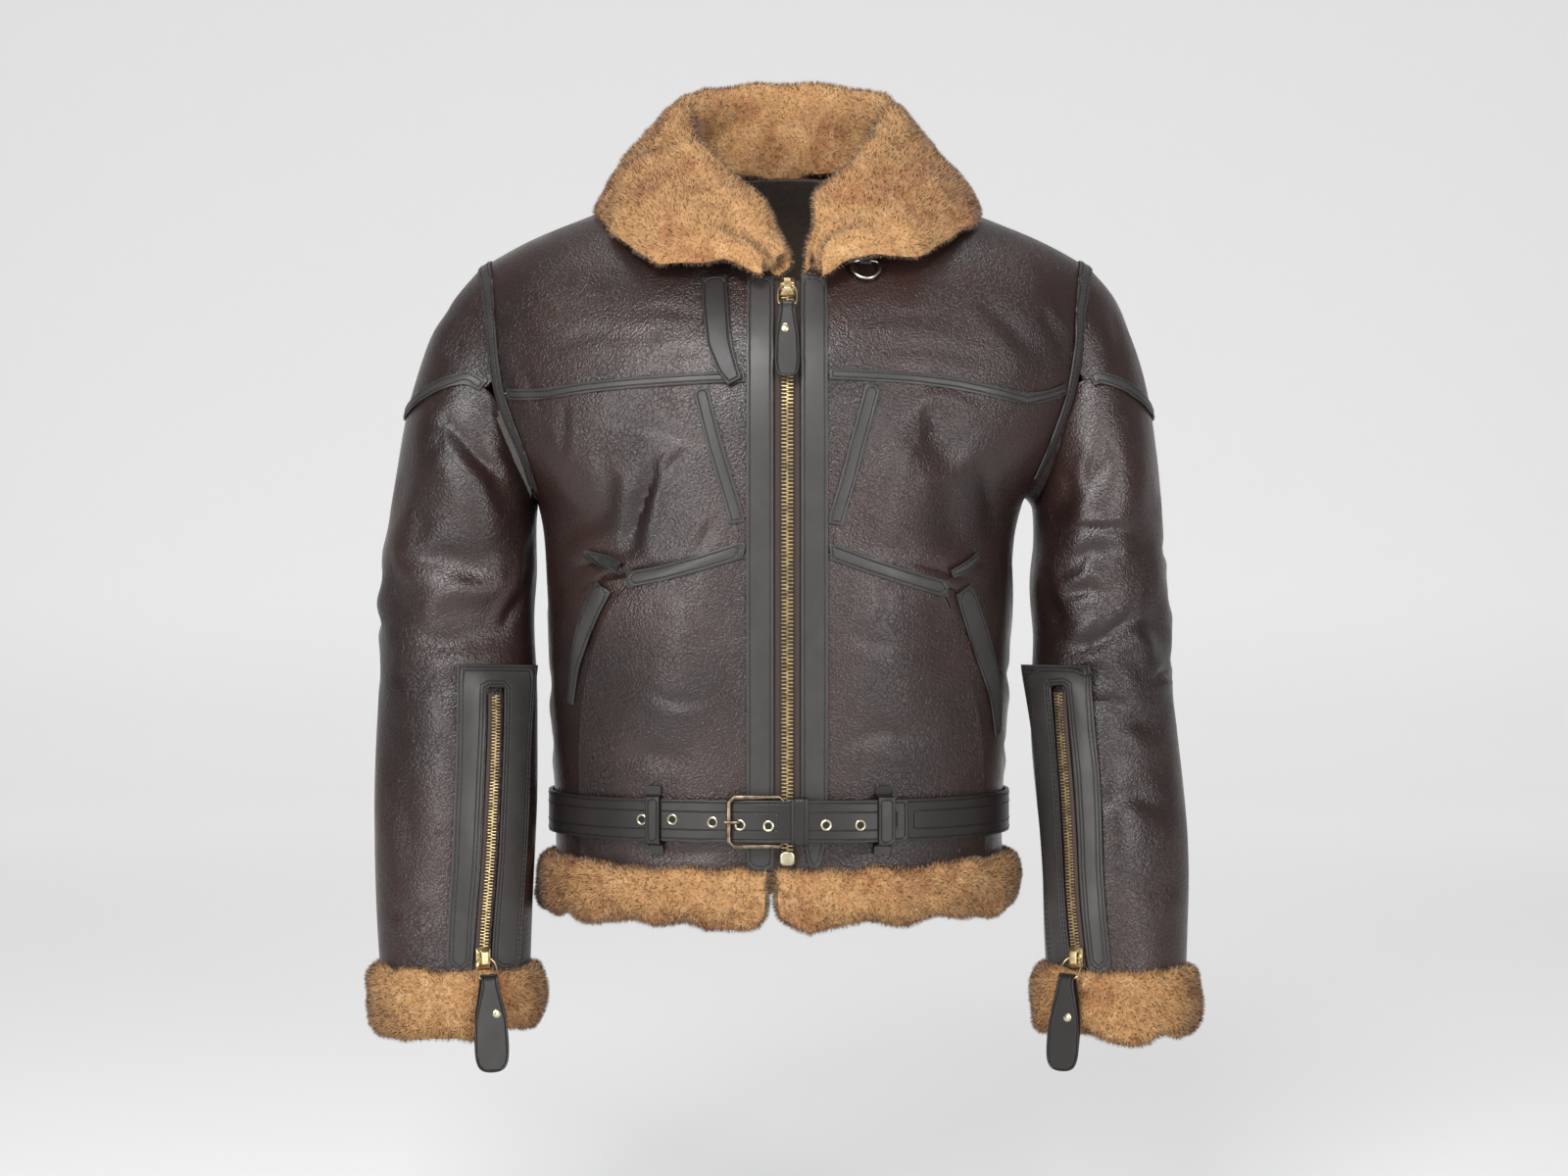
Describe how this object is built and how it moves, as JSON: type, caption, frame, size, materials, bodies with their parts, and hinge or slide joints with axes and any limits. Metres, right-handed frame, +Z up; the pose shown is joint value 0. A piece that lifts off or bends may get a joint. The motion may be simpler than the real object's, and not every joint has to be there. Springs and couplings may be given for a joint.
{
  "type": "flying jacket",
  "caption": "Sheepskin flying jacket in dark brown leather, with a turned fur collar, fur cuffs and hem, a front zip, cuff zips and a buckled belt.",
  "frame": {"origin": "in the hollow at the base of the neck, level with the shoulders, where the jacket rests on its wearer", "axes": "+Z up, +X towards the wearer's left, -Y out of the chest"},
  "size_m": [0.6896, 0.3013, 0.8235],
  "materials": {
    "hide": "pebbled, semi-gloss",
    "smooth_leather": "smooth, semi-gloss",
    "wool": "deep wool pile",
    "brass": "antique",
    "ring": "polished nickel"
  },
  "bodies": {
    "jacket": {"back": "hide", "belt": "smooth_leather", "belt_loop_back_L": "smooth_leather", "belt_loop_back_R": "smooth_leather", "belt_loop_front_L": "smooth_leather", "belt_loop_front_R": "smooth_leather", "buckle": "brass", "collar": "wool", "collar_strap": "smooth_leather", "cuff_facing_L": "smooth_leather", "cuff_facing_R": "smooth_leather", "cuff_fur_L": "wool", "cuff_fur_R": "wool", "front_inset_L": "hide", "front_inset_R": "hide", "front_lower_L": "hide", "front_lower_R": "hide", "front_side_L": "hide", "front_side_R": "hide", "hem_fur_L": "wool", "hem_fur_R": "wool", "keeper": "smooth_leather", "placket_L": "smooth_leather", "placket_R": "smooth_leather", "pocket_facing_L": "smooth_leather", "pocket_facing_R": "smooth_leather", "pocket_welt_L": "smooth_leather", "pocket_welt_R": "smooth_leather", "prong": "brass", "ring_loop": "smooth_leather", "sleeve_L": "hide", "sleeve_R": "hide", "sleeve_cap_L": "hide", "sleeve_cap_R": "hide", "slider_cuff_L": "brass", "slider_cuff_R": "brass", "slider_front": "brass", "tape_armhole_L": "smooth_leather", "tape_armhole_R": "smooth_leather", "tape_dart_L": "smooth_leather", "tape_dart_R": "smooth_leather", "tape_sleeve_L": "smooth_leather", "tape_sleeve_R": "smooth_leather", "tape_waist_L": "smooth_leather", "tape_waist_R": "smooth_leather", "tape_yoke_L": "smooth_leather", "tape_yoke_R": "smooth_leather", "yoke_front_L": "hide", "yoke_front_R": "hide", "zip_box": "brass", "zip_cuff_L": "brass", "zip_cuff_R": "brass", "zip_front": "brass"},
    "pull_front": {"bail_front": "brass", "tab_front": "smooth_leather"},
    "pull_cuff_right": {"bail_cuff_R": "brass", "tab_cuff_R": "smooth_leather"},
    "pull_cuff_left": {"bail_cuff_L": "brass", "tab_cuff_L": "smooth_leather"},
    "collar_ring": {"d_ring": "ring"}
  },
  "joints": [
    {"name": "front_pull_hinge", "type": "hinge", "parent": "jacket", "child": "pull_front", "pos_m": [0.00181, -0.12891, -0.04719], "axis": [-1, -0.0017, 0], "range_deg": [0, 140]},
    {"name": "right_cuff_pull_hinge", "type": "hinge", "parent": "jacket", "child": "pull_cuff_right", "pos_m": [-0.24162, -0.09566, -0.58442], "axis": [-0.9242, -0.3818, 0], "range_deg": [0, 125]},
    {"name": "left_cuff_pull_hinge", "type": "hinge", "parent": "jacket", "child": "pull_cuff_left", "pos_m": [0.23305, -0.09072, -0.58449], "axis": [-0.8438, 0.5366, 0], "range_deg": [0, 125]},
    {"name": "collar_ring_hinge", "type": "hinge", "parent": "jacket", "child": "collar_ring", "pos_m": [0.06403, -0.1114, -0.0254], "axis": [-0.9958, -0.0911, 0], "range_deg": [0, 45]}
  ]
}
